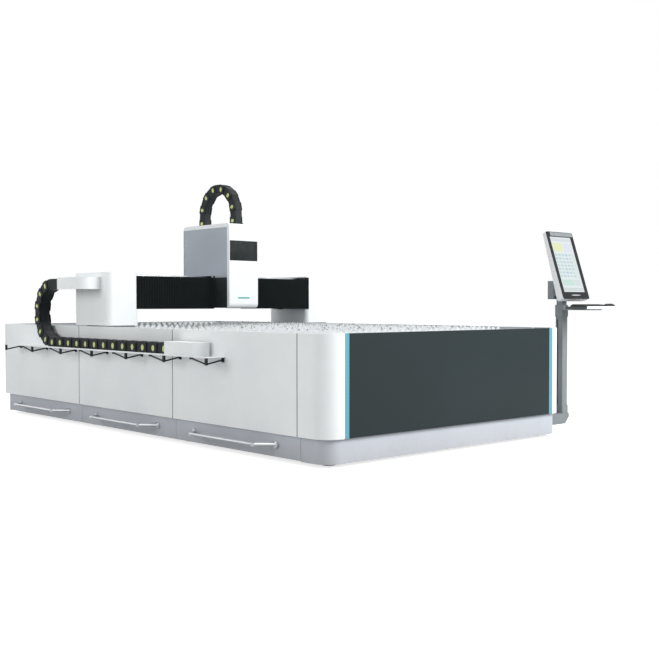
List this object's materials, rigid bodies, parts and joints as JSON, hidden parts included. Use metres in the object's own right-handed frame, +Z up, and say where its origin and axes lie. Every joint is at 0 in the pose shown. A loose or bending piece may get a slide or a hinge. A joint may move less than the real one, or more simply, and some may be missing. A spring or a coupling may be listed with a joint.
{
  "type": "fibre laser cutting machine",
  "caption": "Open flat-bed laser cutter for sheet metal: a saw-tooth slat table, a driven gantry with a cutting head, scrap drawers and a swivelling console.",
  "frame": {"origin": "on the floor, at the middle of the bed's length and width", "axes": "+X to the right seen from the front, -Y towards the front end panel, +Z up"},
  "size_m": [3.249, 4.81, 2.1102],
  "materials": {
    "frame_paint": "satin grey powder coat on welded steel",
    "white_paint": "fine-textured white powder coat",
    "plinth_paint": "light grey powder coat",
    "slate_paint": "gloss slate paint",
    "head_grey": "satin grey paint",
    "light_tint": "cyan translucent light strip",
    "ground_steel": "ground steel",
    "slat_steel": "laser-cut mild steel",
    "foot_iron": "dark cast iron",
    "chain_nylon": "black nylon",
    "bellows_cloth": "black coated cloth",
    "chrome": "bright chrome",
    "motor_black": "black anodised housing",
    "head_black": "black anodised aluminium",
    "window_black": "smoked acrylic",
    "console_grey": "grey powder coat",
    "rod_black": "black painted rod",
    "monitor_white": "white plastic",
    "screen": "display panel",
    "key_black": "black plastic"
  },
  "bodies": {
    "bed": {"bed_beams": "frame_paint", "bed_cross_beams": "frame_paint", "bed_posts": "frame_paint", "levelling_feet": "foot_iron", "guide_rails": "ground_steel", "gear_racks": "ground_steel", "slat_carriers": "slat_steel", "cutting_slats": "slat_steel", "side_panels": "white_paint", "deck_plates": "white_paint", "front_corners": "white_paint", "front_panel": "slate_paint", "light_strips": "light_tint", "rear_panel": "white_paint", "skirts": "plinth_paint", "chain_tray": "white_paint", "tray_brackets": "rod_black", "chain_end_cover": "white_paint", "gantry_chain_lower": "chain_nylon", "console_elbow": "console_grey", "console_pole": "console_grey"},
    "drawer_front": {"scrap_drawer_front": "plinth_paint", "drawer_handle_front": "chrome"},
    "drawer_middle": {"scrap_drawer_middle": "plinth_paint", "drawer_handle_middle": "chrome"},
    "drawer_rear": {"scrap_drawer_rear": "plinth_paint", "drawer_handle_rear": "chrome"},
    "gantry": {"gantry_legs": "frame_paint", "gantry_blocks": "ground_steel", "gantry_beam": "frame_paint", "gantry_covers": "white_paint", "gantry_motors": "motor_black", "chain_bracket": "white_paint", "gantry_chain_upper": "chain_nylon", "beam_guides": "ground_steel", "left_bellows": "bellows_cloth", "right_bellows": "bellows_cloth", "beam_chain_tray": "console_grey", "beam_chain": "chain_nylon"},
    "left_pinion": {"left_pinion": "ground_steel"},
    "right_pinion": {"right_pinion": "ground_steel"},
    "chain_loop": {"gantry_chain_loop": "chain_nylon"},
    "carriage": {"carriage_plate": "frame_paint", "carriage_blocks": "ground_steel", "head_cover": "white_paint", "head_sides": "head_grey", "head_window": "window_black", "carriage_motor": "motor_black", "z_motor": "motor_black", "head_chain": "chain_nylon"},
    "carriage_pinion": {"carriage_pinion": "ground_steel"},
    "z_screw": {"z_screw": "ground_steel"},
    "z_head": {"z_slide": "ground_steel", "cutting_head": "head_black"},
    "console": {"swivel_bracket": "console_grey", "keyboard_tray": "console_grey", "keyboard": "key_black", "mouse": "key_black"},
    "monitor": {"monitor_housing": "monitor_white", "monitor_screen": "screen"}
  },
  "joints": [
    {"name": "gantry_slide", "type": "slide", "parent": "bed", "child": "gantry", "axis": [0, 1, 0], "range_m": [-2.05, 1], "deforming": ["gantry_chain_lower", "gantry_chain_upper"]},
    {"name": "left_pinion_spin", "type": "hinge", "parent": "gantry", "child": "left_pinion", "pos_m": [-1.014, 0.9, 0.8], "axis": [0, 0, 1], "range_deg": [-2941, 1437]},
    {"name": "right_pinion_spin", "type": "hinge", "parent": "gantry", "child": "right_pinion", "pos_m": [1.014, 0.9, 0.8], "axis": [0, 0, 1], "range_deg": [-1437, 2941]},
    {"name": "chain_loop_slide", "type": "slide", "parent": "bed", "child": "chain_loop", "axis": [0, 1, 0], "range_m": [-1.03, 0.505]},
    {"name": "carriage_slide", "type": "slide", "parent": "gantry", "child": "carriage", "axis": [1, 0, 0], "range_m": [-0.76, 0.76], "deforming": ["left_bellows", "right_bellows", "beam_chain"]},
    {"name": "carriage_pinion_spin", "type": "hinge", "parent": "carriage", "child": "carriage_pinion", "pos_m": [0, 0.623, 1.27], "axis": [0, 0, 1], "range_deg": [-1456, 1456]},
    {"name": "z_slide", "type": "slide", "parent": "carriage", "child": "z_head", "axis": [0, 0, -1], "range_m": [0, 0.12]},
    {"name": "z_screw_spin", "type": "hinge", "parent": "carriage", "child": "z_screw", "pos_m": [0, 0.428, 1.2], "axis": [0, 0, 1], "range_deg": [-5, 4325]},
    {"name": "console_swivel", "type": "hinge", "parent": "bed", "child": "console", "pos_m": [1.5, -2.1, 0.95], "axis": [0, 0, 1], "range_deg": [-45, 90]},
    {"name": "monitor_tilt", "type": "hinge", "parent": "console", "child": "monitor", "pos_m": [1.5, -2.094, 1.192], "axis": [1, 0, 0], "range_deg": [-10, 10]},
    {"name": "drawer_front_slide", "type": "slide", "parent": "bed", "child": "drawer_front", "axis": [-1, 0, 0], "range_m": [0, 1.2]},
    {"name": "drawer_middle_slide", "type": "slide", "parent": "bed", "child": "drawer_middle", "axis": [-1, 0, 0], "range_m": [0, 1.2]},
    {"name": "drawer_rear_slide", "type": "slide", "parent": "bed", "child": "drawer_rear", "axis": [-1, 0, 0], "range_m": [0, 1.2]}
  ],
  "couplings": [
    {"joint": "left_pinion_spin", "follows": "gantry_slide", "rad_per_m": 25},
    {"joint": "right_pinion_spin", "follows": "gantry_slide", "rad_per_m": -25},
    {"joint": "chain_loop_slide", "follows": "gantry_slide", "ratio": 0.5},
    {"joint": "carriage_pinion_spin", "follows": "carriage_slide", "rad_per_m": -33.333},
    {"joint": "z_screw_spin", "follows": "z_slide", "rad_per_m": 628.32}
  ]
}
